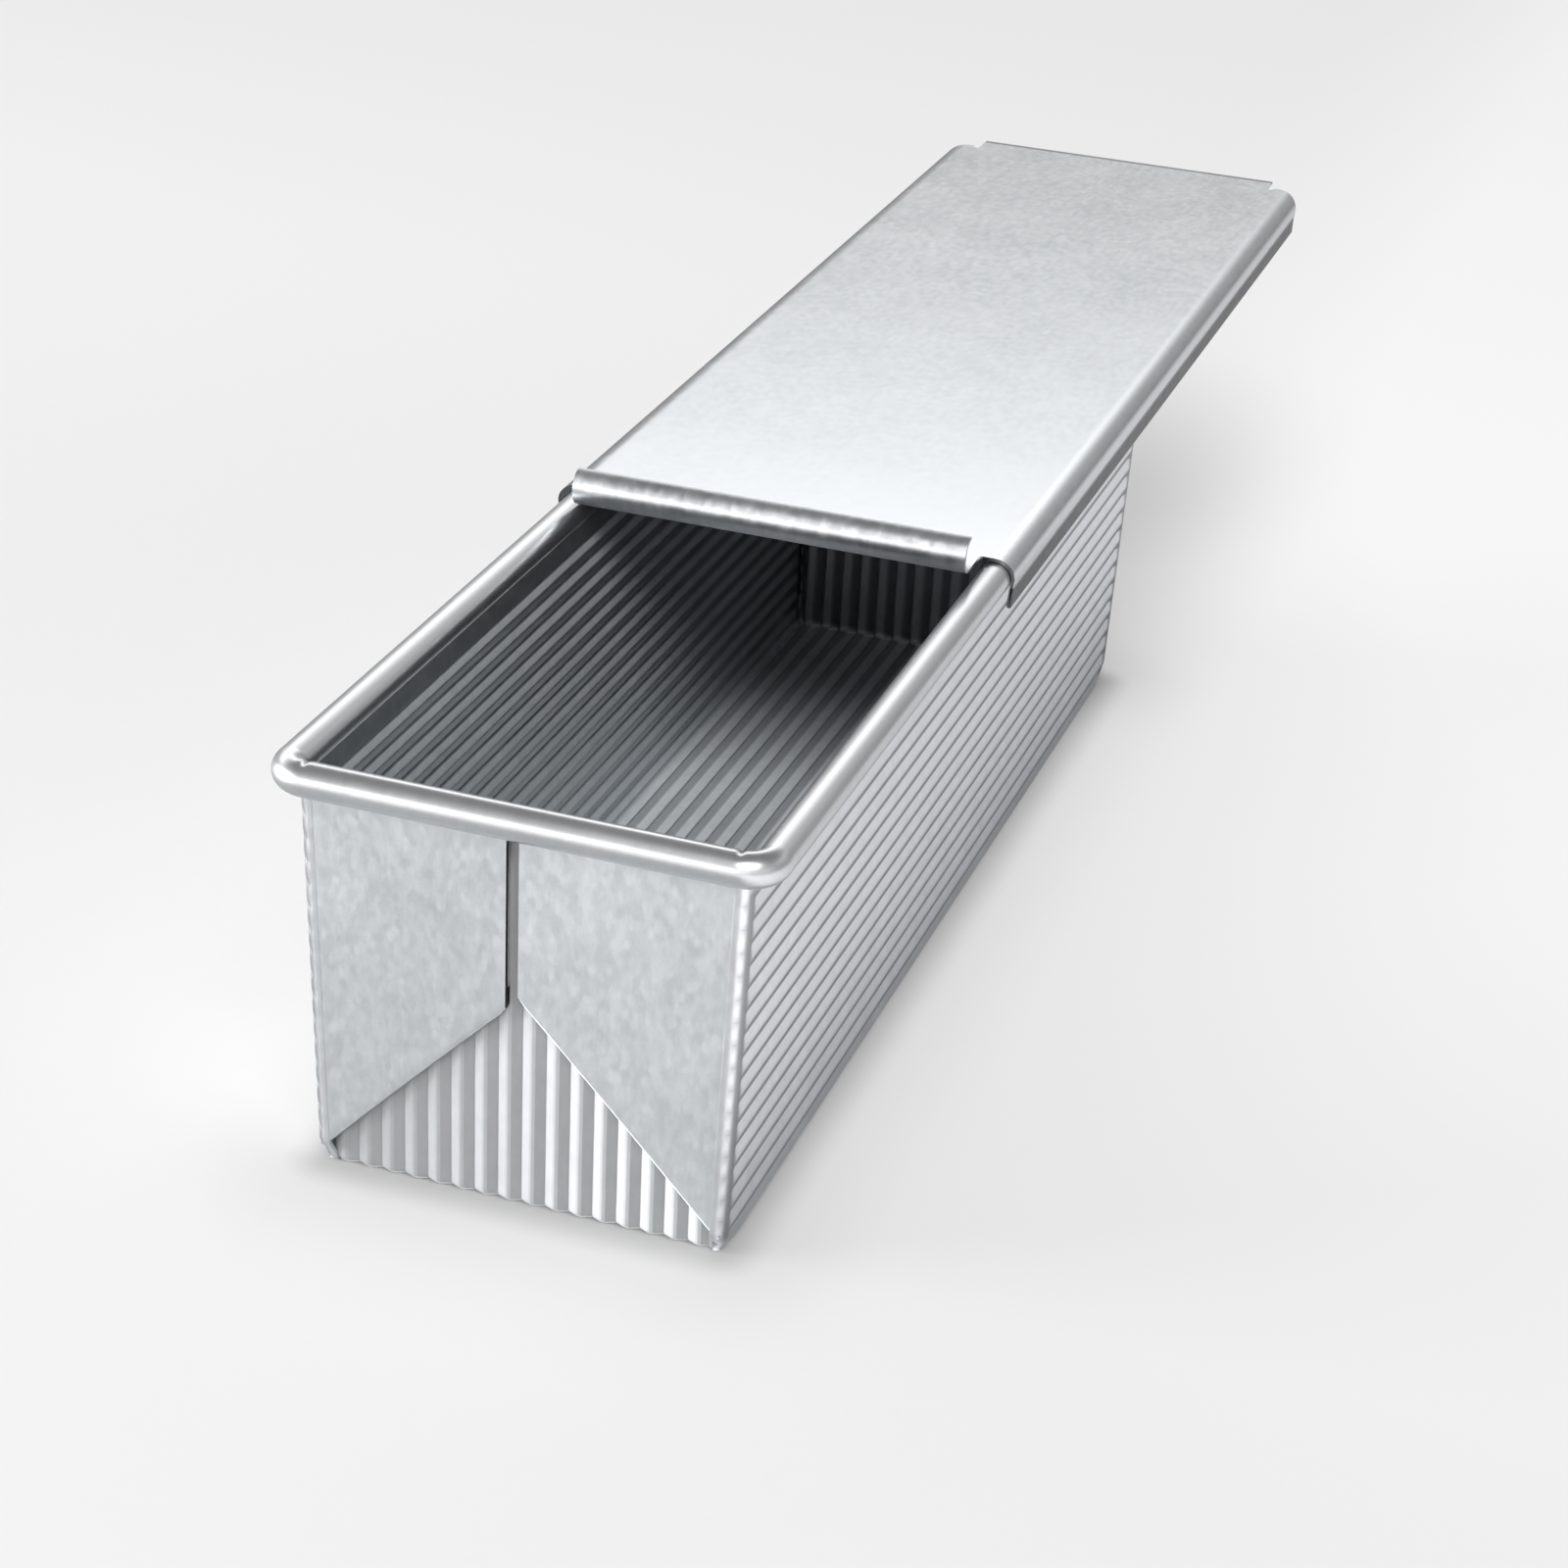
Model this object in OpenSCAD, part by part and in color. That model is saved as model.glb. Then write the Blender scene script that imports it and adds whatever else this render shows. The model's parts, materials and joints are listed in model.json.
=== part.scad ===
// Pullman loaf pan: a ribbed sheet folded into a straight-sided pan, a wired rim roll,
// and a flat lid whose side channels slide along the rim.
// X runs across the pan, Y along it and Z up.
// The origin is the middle of the base, on the surface that the pan stands on.
// The lid is drawn slid half way back along the rim.

/* [Pan] */
// Inside length at the rim
inside_l = 330.2; // [280:0.1:420]
// Inside width at the rim
inside_w = 101.6; // [90:0.1:130]
// Height from the base to the top of the rim roll
pan_h = 102.4; // [85:0.1:125]
// Thickness of the pan sheet
sheet_t = 0.8; // [0.6:0.05:1]
// How far each long wall leans out from base to rim
side_lean = 3; // [1:0.5:6]
// How far each end wall leans out from base to rim
end_lean = 1.5; // [0.5:0.5:4]
// Outer radius of the bends between floor, walls and ends
bend_r = 2.4; // [2.2:0.1:4]

/* [Ribs] */
// Distance from one rib to the next
rib_pitch = 5.65; // [4.5:0.05:7]
// Depth of the valleys between ribs
rib_relief = 0.6; // [0.3:0.05:0.8]
// Height of the lowest rib valley on the long walls
rib_first_z = 4.25; // [4:0.05:6]
// Plain band of the long walls under the middle of the rim roll
rib_band = 9; // [7:0.5:16]

/* [Rim] */
// Outer diameter of the rim roll
roll_d = 8.1; // [7.4:0.1:9]
// Diameter of the wire inside the roll
wire_d = 6; // [4:0.1:6.2]
// Plan radius of the rim corners, to the middle of the roll
rim_corner_r = 6; // [5:0.5:12]
// Width of the open seam under the roll
seam_w = 0.8; // [0.4:0.1:1.5]

/* [Folded ends] */
// Gap between folded layers of sheet
fold_gap = 0.3; // [0.1:0.05:0.4]
// Width of the slit where the two ears of an end meet
slit_w = 2.7; // [1:0.1:6]
// Sideways place of the middle of the slit
slit_x = -1.45; // [-4:0.05:4]

/* [Lid] */
// Thickness of the lid sheet
lid_t = 0.8; // [0.6:0.05:1]
// Length of the side channels
channel_l = 346.4; // [280:0.1:430]
// Running clearance between rim roll and channel
channel_gap = 1.1; // [1:0.1:2]
// Gap between the end rolls and the underside of the lid
lid_lift = 0.3; // [0.3:0.05:0.8]
// Sideways play taken up by the lid as it lies
lid_side = -0.7; // [-0.7:0.1:0.7]
// Distance that the lid is slid back from closed
lid_back = 173.4; // [0:0.1:180]
// Depth of the channel flange below the middle of the arch
flange_drop = 6.7; // [5:0.1:12]
// How far the flange leans in from top to bottom
flange_lean = 1; // [0:0.1:1.2]
// Height of the hem turned up outside the flange
hem_h = 4.5; // [2:0.1:4.8]
// Gap inside the hem
hem_gap = 0.2; // [0.1:0.05:0.4]
// Plan radius of the rear channel corners
lid_corner_r = 9; // [4:0.5:12]
// Flat of the front tab ahead of the channels, up to its curl
front_tab = 9; // [6:0.5:16]
// Outer radius of the curl along the front tab
curl_r = 4.7; // [3.5:0.1:7]
// Length of the rear tab behind the channels
rear_tab = 7.5; // [5:0.5:16]
// Size of the notches beside the rear tab
notch = 2; // [1:0.1:4]

/* [Hidden] */
$fn = 64;

// Overrun of every cut past the faces that it cuts
over = 1;
pan_tone = "lightgray";
lid_tone = "lightsteelblue";

// One rib along the sheet: place along the pitch, then depth as a share of the relief.
// The face that rises outwards is steep and the one that falls back is long.
rib_shares = [[0, 1], [0.22, 0.14], [0.32, 0], [0.44, 0], [0.58, 0.12]];
// The same rib on a wall that runs along the sheet the other way
turned_shares = [[0, 1], [0.42, 0.12], [0.56, 0], [0.68, 0], [0.78, 0.14]];
// Where the crest of a wall rib begins in each list
crest_share = 2;

roll_r = roll_d / 2;
rim_z = pan_h - roll_r;
rim_x = inside_w / 2 + roll_r;
rim_y = inside_l / 2 + roll_r;
side_angle = atan(side_lean / rim_z);
end_angle = atan(end_lean / rim_z);
// Outer faces of the walls where they would meet the base plane
base_x = inside_w / 2 + sheet_t / cos(side_angle) - side_lean;
base_y = inside_l / 2 + sheet_t / cos(end_angle) - end_lean;
// Axes of the bottom bends, rounded inside the leaning walls
function bend_inset(angle) = bend_r * (1 - sin(angle)) / cos(angle);
side_bend_x = base_x - bend_inset(side_angle);
end_bend_y = base_y - bend_inset(end_angle);
// The ears lie two sheets and two gaps outside the end walls
ear_out = 2 * sheet_t + 2 * fold_gap;
ear_bend_y = end_bend_y + ear_out / cos(end_angle);
// Lean of the upright corner bend towards the end, seen square to the long wall
corner_angle = atan(tan(end_angle) * cos(side_angle));
// A folded edge holds two sheets and the gap between them
fold_r = sheet_t + fold_gap / 2;
fold_angle = (90 - side_angle - end_angle) / 2;
// Upright fold at the end wall's edge, measured from the corner bend's axis
edge_fold_x = bend_r - sheet_t - rib_relief - fold_gap - fold_r;
edge_fold_y = bend_r - sheet_t - fold_gap - fold_r;
// The walls end on a slope just under the roll
seat_gap_share = 0.15;
seat_r = roll_r + seat_gap_share * sheet_t;
// Length of wall that surely reaches past the rim
wall_l = pan_h;
seam_angle = 226;

// Lid places, in the lid's own frame with the lid closed
arch_z = rim_z + lid_lift;
arch_in = roll_r + channel_gap;
arch_out = arch_in + lid_t;
foot_in = [-sqrt(arch_in * arch_in - roll_r * roll_r), roll_r];
foot_out = [-sqrt(arch_out * arch_out - (roll_r + lid_t) * (roll_r + lid_t)), roll_r + lid_t];
hem_r = lid_t + hem_gap / 2;
arc_steps = 16;

// Band of a ring between two angles, up to half a turn
module arc_band(outer_r, thick, from, to) {
    reach = outer_r + outer_r;
    mid = (from + to) / 2;
    intersection() {
        difference() {
            circle(outer_r);
            circle(outer_r - thick);
        }
        polygon([
            [0, 0], reach * [cos(from), sin(from)], reach * [cos(mid), sin(mid)], reach * [cos(to), sin(to)]
        ]);
    }
}

// Points of a run of ribs: [place along the run, depth]
function rib_run(start, count, shares) = [
    for (k = [0 : count - 1], s = shares) [start + (k + s[0]) * rib_pitch, s[1] * rib_relief]
];

// Ribs right across the sheet, wider than the rim, with a valley on the middle
across_ribs = ceil(rim_x / rib_pitch);
across_run = rib_run(-across_ribs * rib_pitch, 2 * across_ribs, rib_shares);

// Ribbed sheet in section, its crests at height face and its thickness below them
module across_section(face) {
    crest = [for (p = across_run) [p[0], face - p[1]]];
    under = [for (i = [len(across_run) - 1 : -1 : 0]) [crest[i][0], crest[i][1] - sheet_t]];
    polygon(concat(crest, under));
}

wall_ribs = floor((rim_z - rib_band - rib_first_z) / rib_pitch) + 1;

// How far below the middle of the roll, measured along a wall, the wall meets it at a depth in its sheet
function seat_drop(angle, depth) = sqrt(pow(seat_r, 2) - pow(roll_r * cos(angle) - sheet_t + depth, 2));
// Height of the middle of the roll along a wall, from the axis of the wall's bend
function roll_h(bend_at, rim_at, angle) = (rim_at - bend_at) * sin(angle) + (rim_z - bend_r) * cos(angle);

// Ribbed long wall in section, about the axis of its bottom bend.
// The last rib stops on its crest, and the wall is plain from there to the rim.
module side_section(shares) {
    middle_h = roll_h(side_bend_x, rim_x, side_angle);
    outer_h = middle_h - seat_drop(side_angle, 0);
    inner_h = middle_h - seat_drop(side_angle, sheet_t);
    run = rib_run(rib_first_z - bend_r, wall_ribs, shares);
    last = run[len(run) - len(shares) + crest_share];
    ribs = [for (p = run) if (p[0] <= last[0]) p];
    line = concat([[0, 0]], ribs);
    crest = [for (p = line) [bend_r - p[1], p[0]]];
    inner = [for (i = [len(line) - 1 : -1 : 0]) [crest[i][0] - sheet_t, crest[i][1]]];
    rotate(-side_angle)
        polygon(concat(crest, [[bend_r, outer_h], [bend_r - sheet_t, inner_h]], inner));
}

// Frames and runs that several pieces share

// Corner of the rim between two headings, round its own upright axis
module rim_arc(from) {
    translate([rim_x - rim_corner_r, rim_y - rim_corner_r, rim_z]) rotate([0, 0, from])
        rotate_extrude(angle = 45) translate([rim_corner_r, 0]) children();
}

// Rear rim run up to its mitres, with the child as its section and X as outwards
module rear_run() {
    translate([0, rim_y, rim_z]) rotate([90, 0, 90])
        linear_extrude(2 * (rim_x - rim_corner_r), center = true) children();
    rim_arc(45) children();
    mirror([1, 0, 0]) rim_arc(45) children();
}

module right_run() {
    translate([rim_x, 0, rim_z]) rotate([90, 0, 0])
        linear_extrude(2 * (rim_y - rim_corner_r), center = true) children();
    rim_arc(0) children();
    mirror([0, 1, 0]) rim_arc(0) children();
}

// Room that the walls leave under the rounded corners of the rim
module corner_room() {
    for (m = [0, 1], n = [0, 1]) mirror([m, 0, 0]) mirror([0, n, 0])
        translate([rim_x - rim_corner_r, rim_y - rim_corner_r, rim_z - roll_r])
            cube(rim_corner_r + roll_r);
}

// Sheet curled round the wire, with its open seam low on the inner side
module roll_section() {
    difference() {
        circle(roll_r);
        circle(roll_r - sheet_t);
        rotate(seam_angle) translate([roll_r - sheet_t - over, -seam_w / 2]) square([sheet_t + 2 * over, seam_w]);
    }
}

// Everything inside the leaning outline of one pair of walls.
// base is half the outline at the height of the bends' axes.
module leaning_block(base, angle, reach) {
    top_w = base + (pan_h - bend_r) * tan(angle);
    rotate([90, 0, 0]) linear_extrude(2 * reach, center = true) polygon([
        [-base, -over], [base, -over], [base, bend_r], [top_w, pan_h], [-top_w, pan_h], [-base, bend_r]
    ]);
}

// Pan pieces

module floor_panel() {
    color(pan_tone) intersection() {
        translate([0, end_bend_y, 0]) rotate([90, 0, 0])
            linear_extrude(2 * end_bend_y) mirror([0, 1]) across_section(0);
        translate([-side_bend_x, -end_bend_y - over, -over])
            cube([2 * side_bend_x, 2 * (end_bend_y + over), sheet_t + rib_relief + 2 * over]);
    }
}

// Axis of the right bottom bend, as a section to be carried along the pan
module side_run(length) {
    translate([side_bend_x, 0, bend_r]) rotate([90, 0, 0]) linear_extrude(length, center = true) children();
}

module side_bend() {
    side_run(2 * ear_bend_y) arc_band(bend_r, sheet_t, -90, -side_angle);
}

module left_bottom_bend() {
    color(pan_tone) mirror([1, 0, 0]) side_bend();
}

module right_bottom_bend() {
    color(pan_tone) side_bend();
}

// The ribs run on round this bend from the floor up the end wall
module end_bend() {
    half_w = side_bend_x + edge_fold_x;
    intersection() {
        translate([0, end_bend_y, bend_r]) rotate([0, 90, 0])
            rotate_extrude(angle = 90 - end_angle) rotate(-90) mirror([1, 0]) across_section(bend_r);
        translate([-half_w, 0, -over]) cube([2 * half_w, rim_y, bend_r + 2 * over]);
    }
}

module front_bottom_bend() {
    color(pan_tone) mirror([0, 1, 0]) end_bend();
}

module rear_bottom_bend() {
    color(pan_tone) end_bend();
}

module side_panel(shares) {
    difference() {
        intersection() {
            side_run(inside_l + 2 * roll_d) side_section(shares);
            rotate([0, 0, 90]) leaning_block(ear_bend_y, end_angle, rim_x + over);
        }
        corner_room();
    }
}

module left_side_panel() {
    color(pan_tone) mirror([1, 0, 0]) side_panel(turned_shares);
}

module right_side_panel() {
    color(pan_tone) side_panel(rib_shares);
}

// The top slopes down through the sheet, and its line runs on across the ribs
module end_panel() {
    middle_h = roll_h(end_bend_y, rim_y, end_angle);
    outer_h = middle_h - seat_drop(end_angle, 0);
    rise = (seat_drop(end_angle, 0) - seat_drop(end_angle, sheet_t)) / sheet_t;
    difference() {
        intersection() {
            translate([0, end_bend_y, bend_r]) rotate([-end_angle, 0, 0]) intersection() {
                linear_extrude(wall_l) across_section(bend_r);
                rotate([90, 0, 90]) linear_extrude(2 * rim_x, center = true) polygon([
                    [0, 0], [bend_r + over, 0], [bend_r + over, outer_h - over * rise], [0, outer_h + bend_r * rise]
                ]);
            }
            leaning_block(side_bend_x + edge_fold_x, side_angle, rim_y + over);
        }
        corner_room();
    }
}

module front_end_panel() {
    color(pan_tone) mirror([0, 1, 0]) end_panel();
}

module rear_end_panel() {
    color(pan_tone) end_panel();
}

// Axis of the upright corner bend, with X out of the long wall and Y out of the end
module corner_frame() {
    translate([side_bend_x, ear_bend_y, bend_r]) rotate([-corner_angle, side_angle, 0]) children();
}

// Height and place across the ear at which the axis of the slanted fold passes
function fold_z(x) = (fold_r - x * cos(fold_angle)) / sin(fold_angle);
function fold_x(z) = (fold_r - z * sin(fold_angle)) / cos(fold_angle);

// One flat layer of the ear, from the slanted fold out to the given place.
// It is drawn well past the slit and the rim, and the ear trims it there.
module ear_layer(outer_x, face_y) {
    far_x = -2 * rim_x;
    translate([0, face_y, 0]) rotate([90, 0, 0]) linear_extrude(sheet_t)
        polygon([[outer_x, fold_z(outer_x)], [outer_x, wall_l], [far_x, wall_l], [fold_x(wall_l), wall_l]]);
}

// Folded corner at the right of the rear end: the upright bend, its rounded foot,
// the two layers with the slanted fold between them, and the fold at the end wall's edge.
// Its top lies just under the roll.
module ear(slit_edge) {
    intersection() {
        corner_frame() {
            linear_extrude(wall_l) {
                arc_band(bend_r, sheet_t, 0, 90);
                translate([edge_fold_x, edge_fold_y]) arc_band(fold_r, sheet_t, -90, 90);
            }
            intersection() {
                difference() {
                    sphere(bend_r);
                    sphere(bend_r - sheet_t);
                }
                translate([0, 0, -bend_r - over]) cube(bend_r + over);
            }
            ear_layer(0, bend_r);
            ear_layer(edge_fold_x, bend_r - sheet_t - fold_gap);
            rotate([0, -fold_angle, 0]) translate([fold_r, bend_r - fold_r, 0])
                linear_extrude(2 * rim_x) arc_band(fold_r, sheet_t, 90, 270);
        }
        translate([slit_edge, 0, -over]) cube([rim_x - slit_edge, rim_y + over, rim_z - roll_r + over]);
    }
}

module front_left_ear() {
    color(pan_tone) rotate([0, 0, 180]) ear(slit_w / 2 - slit_x);
}

module front_right_ear() {
    color(pan_tone) mirror([0, 1, 0]) ear(slit_w / 2 + slit_x);
}

module rear_left_ear() {
    color(pan_tone) mirror([1, 0, 0]) ear(slit_w / 2 - slit_x);
}

module rear_right_ear() {
    color(pan_tone) ear(slit_w / 2 + slit_x);
}

module left_rim_roll() {
    color(pan_tone) mirror([1, 0, 0]) right_run() roll_section();
}

module right_rim_roll() {
    color(pan_tone) right_run() roll_section();
}

module front_rim_roll() {
    color(pan_tone) mirror([0, 1, 0]) rear_run() roll_section();
}

module rear_rim_roll() {
    color(pan_tone) rear_run() roll_section();
}

// One closed wire, bent at the four corners of the rim
module rim_wire() {
    corner_x = rim_x - rim_corner_r;
    corner_y = rim_y - rim_corner_r;
    color("gray") translate([0, 0, rim_z]) {
        for (m = [0, 1]) {
            mirror([0, m, 0]) translate([-corner_x, rim_y, 0]) rotate([0, 90, 0])
                cylinder(h = 2 * corner_x, d = wire_d);
            mirror([m, 0, 0]) translate([rim_x, corner_y, 0]) rotate([90, 0, 0])
                cylinder(h = 2 * corner_y, d = wire_d);
            for (n = [0, 1]) mirror([m, 0, 0]) mirror([0, n, 0]) translate([corner_x, corner_y, 0])
                rotate_extrude(angle = 90) translate([rim_corner_r, 0]) circle(d = wire_d);
        }
    }
}

// Lid pieces

module lid_place() {
    translate([lid_side, lid_back, 0]) children();
}

module lid_plate() {
    front = -channel_l / 2 - front_tab;
    rear = channel_l / 2 + rear_tab;
    low_x = rim_x + foot_in[0];
    top_x = rim_x + foot_out[0];
    color(lid_tone) lid_place() difference() {
        translate([0, rear, arch_z]) rotate([90, 0, 0]) linear_extrude(rear - front) polygon([
            [-low_x, foot_in[1]], [low_x, foot_in[1]], [top_x, foot_out[1]], [-top_x, foot_out[1]]
        ]);
        for (m = [0, 1]) mirror([m, 0, 0])
            translate([low_x - notch, channel_l / 2, arch_z])
                cube([notch + over, notch, foot_out[1] + over]);
    }
}

// Points along an arc about a middle, in even steps
function arc_points(middle, radius, from, to) = [
    for (i = [0 : arc_steps]) let (turn = from + (to - from) * i / arc_steps)
        [middle[0] + radius * cos(turn), middle[1] + radius * sin(turn)]
];

// Channel in section: arch over the roll, leaning flange, and hem folded outwards and up.
// The outline goes round the inside of the arch, the hem, and back round the outside.
module channel_section() {
    hem_c = [arch_in - flange_lean + hem_r, -flange_drop];
    hem_lean = flange_lean * hem_h / flange_drop;
    hem_top_x = hem_c[0] + hem_r + hem_lean;
    hem_top_y = hem_h - flange_drop;
    polygon(concat(
        arc_points([0, 0], arch_in, 180 - asin(foot_in[1] / arch_in), 0),
        arc_points(hem_c, hem_r, 180, 360),
        [[hem_top_x, hem_top_y], [hem_top_x - lid_t, hem_top_y]],
        arc_points(hem_c, hem_r - lid_t, 360, 180),
        arc_points([0, 0], arch_out, 0, 180 - asin(foot_out[1] / arch_out))
    ));
}

module channel() {
    difference() {
        translate([rim_x, 0, arch_z]) rotate([90, 0, 0]) linear_extrude(channel_l, center = true) channel_section();
        translate([rim_x + arch_out - lid_corner_r, channel_l / 2 - lid_corner_r, 0])
            linear_extrude(2 * pan_h) difference() {
                square(lid_corner_r + over);
                circle(lid_corner_r);
            }
    }
}

module lid_left_channel() {
    color(lid_tone) lid_place() mirror([1, 0, 0]) channel();
}

module lid_right_channel() {
    color(lid_tone) lid_place() channel();
}

module lid_front_curl() {
    color(lid_tone) lid_place()
        translate([0, -channel_l / 2 - front_tab, arch_z + roll_r + curl_r]) rotate([90, 0, 90])
            linear_extrude(2 * (rim_x + foot_out[0]), center = true) arc_band(curl_r, lid_t, 90, 270);
}

floor_panel();
left_bottom_bend();
right_bottom_bend();
front_bottom_bend();
rear_bottom_bend();
left_side_panel();
right_side_panel();
front_end_panel();
rear_end_panel();
front_left_ear();
front_right_ear();
rear_left_ear();
rear_right_ear();
left_rim_roll();
right_rim_roll();
front_rim_roll();
rear_rim_roll();
rim_wire();
lid_plate();
lid_left_channel();
lid_right_channel();
lid_front_curl();
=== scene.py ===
"""Pullman loaf pan of ribbed steel sheet, its lid slid half way back along the rim.

Sizes are in millimetres, and MM turns them into metres in the meshes and the materials.
"""
import json
import math
import bpy
import numpy as np
from mathutils import Matrix, Vector


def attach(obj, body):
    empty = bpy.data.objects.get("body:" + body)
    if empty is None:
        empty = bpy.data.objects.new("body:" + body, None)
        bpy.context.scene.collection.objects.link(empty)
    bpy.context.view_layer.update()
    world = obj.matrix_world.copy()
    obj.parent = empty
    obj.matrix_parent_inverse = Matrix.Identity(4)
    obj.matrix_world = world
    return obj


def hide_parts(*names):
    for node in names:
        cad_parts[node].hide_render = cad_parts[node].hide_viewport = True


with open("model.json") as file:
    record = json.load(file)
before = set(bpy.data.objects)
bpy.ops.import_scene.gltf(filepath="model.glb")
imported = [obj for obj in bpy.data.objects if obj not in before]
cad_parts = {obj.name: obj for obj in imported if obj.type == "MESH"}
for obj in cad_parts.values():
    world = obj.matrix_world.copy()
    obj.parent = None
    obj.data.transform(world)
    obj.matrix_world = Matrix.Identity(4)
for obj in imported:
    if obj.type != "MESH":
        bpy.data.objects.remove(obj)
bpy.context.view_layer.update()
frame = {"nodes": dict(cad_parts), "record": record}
MM = 0.001

# Sizes of the pan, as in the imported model

BEND_R, SHEET, ROLL_R, CORNER_R = 2.4, 0.8, 4.05, 6.0
RIM_X, RIM_Y, RIM_Z = 54.85, 169.15, 98.35
SIDE_BEND_X, END_BEND_Y, EAR_BEND_Y = 46.27, 162.04, 164.24
SIDE_LEAN, END_LEAN = 3 / RIM_Z, 1.5 / RIM_Z
PITCH, RELIEF, FIRST_RIB = 5.65, 0.6, 4.25
# Ears: their top, where the slanted edges would meet, how steep they are, their fold, and where each starts
EAR_TOP, EAR_PEAK, EAR_SLOPE, FOLD_R = 94.3, 54.1, 1.05, 1.05
LEFT_EAR_START, RIGHT_EAR_START = 2.8, -0.1

# Folds of one rib as shares of the pitch, from valley to valley, and how deep each lies
RIB_PLACES = [0, 0.03, 0.34, 0.44, 0.58, 0.97, 1]
RIB_DEPTHS = [1, 0.96, 0.05, 0, 0.11, 0.96, 1]
# Painted light on the facets between those folds: each value scales the colour, a painted highlight above 1 and
# painted shade below 1
SIDE_SHADING = [0.40, 0.43, 0.8, 1.25, 1.3, 1.08]
END_SHADING = [0.58, 0.9, 0.82, 0.58, 0.41, 0.41]
FLOOR_SHADING = [0.62, 0.62, 0.9, 1.2, 1.2, 1.0]
INNER_SHADING = [1.0, 0.95, 1.0, 1.25, 1.6, 1.25]
# Painted light on the corners of the walls: how much painted highlight lightens the right ones' strips, how much
# painted shade darkens their nicks and lee sides, and how much painted shade darkens the left ones
STRIP_HIGHLIGHT, NICK_SHADE, LEE_SHADE, LEFT_CORNER_SHADE = 0.42, 0.5, 0.42, 0.5

# Sizes of the lid, whose rows are counted from LID_Y and whose heights are counted from ARCH_Z

LID_X, LID_Y, ARCH_Z, ARCH_IN, ARCH_RISE = -0.7, 173.4, 98.65, 4.9, 4.05
CHANNEL_END, NOTCH, LID_CORNER = 173.2, 2.0, 9.0
TAB_FRONT, TAB_REAR, TAB_X = -182.2, 180.7, 49.67
CURL_R, CURL_X = 4.7, 51.45
# Points of its section as (out from the rim's axis, up from it), and the half ellipse of its hem
FLANGE, LIP = [(4.5, -3.35), (4.2, -6.3)], [(5.62, -4.6), (5.72, -2.2)]
HEM_OUT, HEM_UP, HEM_WIDE, HEM_DEEP = 4.85, -6.7, 0.7, 0.9
LIP_X = 5.95


# Materials

class Socket:
    """One value in a node tree. Arithmetic on it adds the node that works the result out."""

    def __init__(self, tree, plug):
        self.tree, self.plug = tree, plug

    def node(self, kind, inputs=None, out=0, **settings):
        """The chosen output of any other node, whose inputs are numbers, colours or Sockets."""
        made = self.tree.nodes.new(kind)
        for key, value in settings.items():
            setattr(made, key, value)
        for key, value in (inputs or {}).items():
            if isinstance(value, Socket):
                self.tree.links.new(value.plug, made.inputs[key])
            else:
                made.inputs[key].default_value = value
        return Socket(self.tree, made.outputs[out])

    def math(self, operation, *values):
        return self.node("ShaderNodeMath", dict(enumerate(values)), operation=operation)

    def __add__(self, other): return self.math("ADD", self, other)
    def __radd__(self, other): return self.math("ADD", other, self)
    def __sub__(self, other): return self.math("SUBTRACT", self, other)
    def __rsub__(self, other): return self.math("SUBTRACT", other, self)
    def __mul__(self, other): return self.math("MULTIPLY", self, other)
    def __rmul__(self, other): return self.math("MULTIPLY", other, self)
    def __neg__(self): return self.math("MULTIPLY", self, -1)
    def __pow__(self, other): return self.math("POWER", self, other)
    def __abs__(self): return self.math("ABSOLUTE", self)

    def ramp(self, low, high, start=0.0, end=1.0):
        """Goes smoothly from start to end as this value goes from low to high."""
        return self.node("ShaderNodeMapRange", {0: self, 1: low, 2: high, 3: start, 4: end},
                         interpolation_type="SMOOTHSTEP")

    def band(self, low, full, fading, high):
        """Rises smoothly from 0 to 1 between low and full, and falls to 0 between fading and high."""
        return self.ramp(low, full) * self.ramp(fading, high, 1.0, 0.0)

    def past(self, limit):
        """How far this value is from the range that ends at plus and minus the limit."""
        size = abs(self)
        return size.math("MAXIMUM", size, limit) - limit

    def axes(self):
        """The three parts of a vector."""
        return [self.node("ShaderNodeSeparateXYZ", {0: self}, out=i) for i in range(3)]

    def stretched(self, x, y, z):
        """This place multiplied along each axis."""
        return self.node("ShaderNodeVectorMath", {0: self, 1: (x, y, z)}, operation="MULTIPLY")

    def noise(self, size, detail=2.0, roughness=0.5):
        """Soft noise from 0 to 1 with features of this size in metres."""
        return self.node("ShaderNodeTexNoise",
                         {"Vector": self, "Scale": 1 / size, "Detail": detail, "Roughness": roughness})

    def spangle(self, size):
        """Flat cells of chance brightness from 0 to 1, this size across."""
        cell = self.node("ShaderNodeTexVoronoi", {"Vector": self, "Scale": 1 / size},
                         out="Color", feature="SMOOTH_F1")
        return self.node("ShaderNodeSeparateColor", {0: cell})

    def tinted(self, dark, light):
        """A colour between two, by this value."""
        return self.node("ShaderNodeMix", {"Factor": self, 6: (*dark, 1), 7: (*light, 1)},
                         out=2, data_type="RGBA")

    def scaled(self, amount):
        """This colour made darker or lighter by a value."""
        return self.node("ShaderNodeVectorMath", {0: self, "Scale": amount}, operation="SCALE")


def new_tree(name):
    """A new material, its main shader and the place on the object's surface."""
    material = bpy.data.materials.new(name)
    material.use_nodes = True
    tree = material.node_tree
    where = tree.nodes.new("ShaderNodeTexCoord").outputs["Object"]
    return material, tree.nodes["Principled BSDF"], Socket(tree, where)


# Marks of the coating: size, and how much each changes colour and roughness
CLOUD, CLOUD_TONE, CLOUD_ROUGH = 22, 0.45, 0.16
STREAK, STREAK_TONE, STREAK_ROUGH = 0.9, 0.35, 0.12
SPECK, SPECK_TONE = 0.55, 0.6
SPANGLE, SPANGLE_ROUGH = 1.3, 0.14
GRAIN_HEIGHT = 0.2
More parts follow.
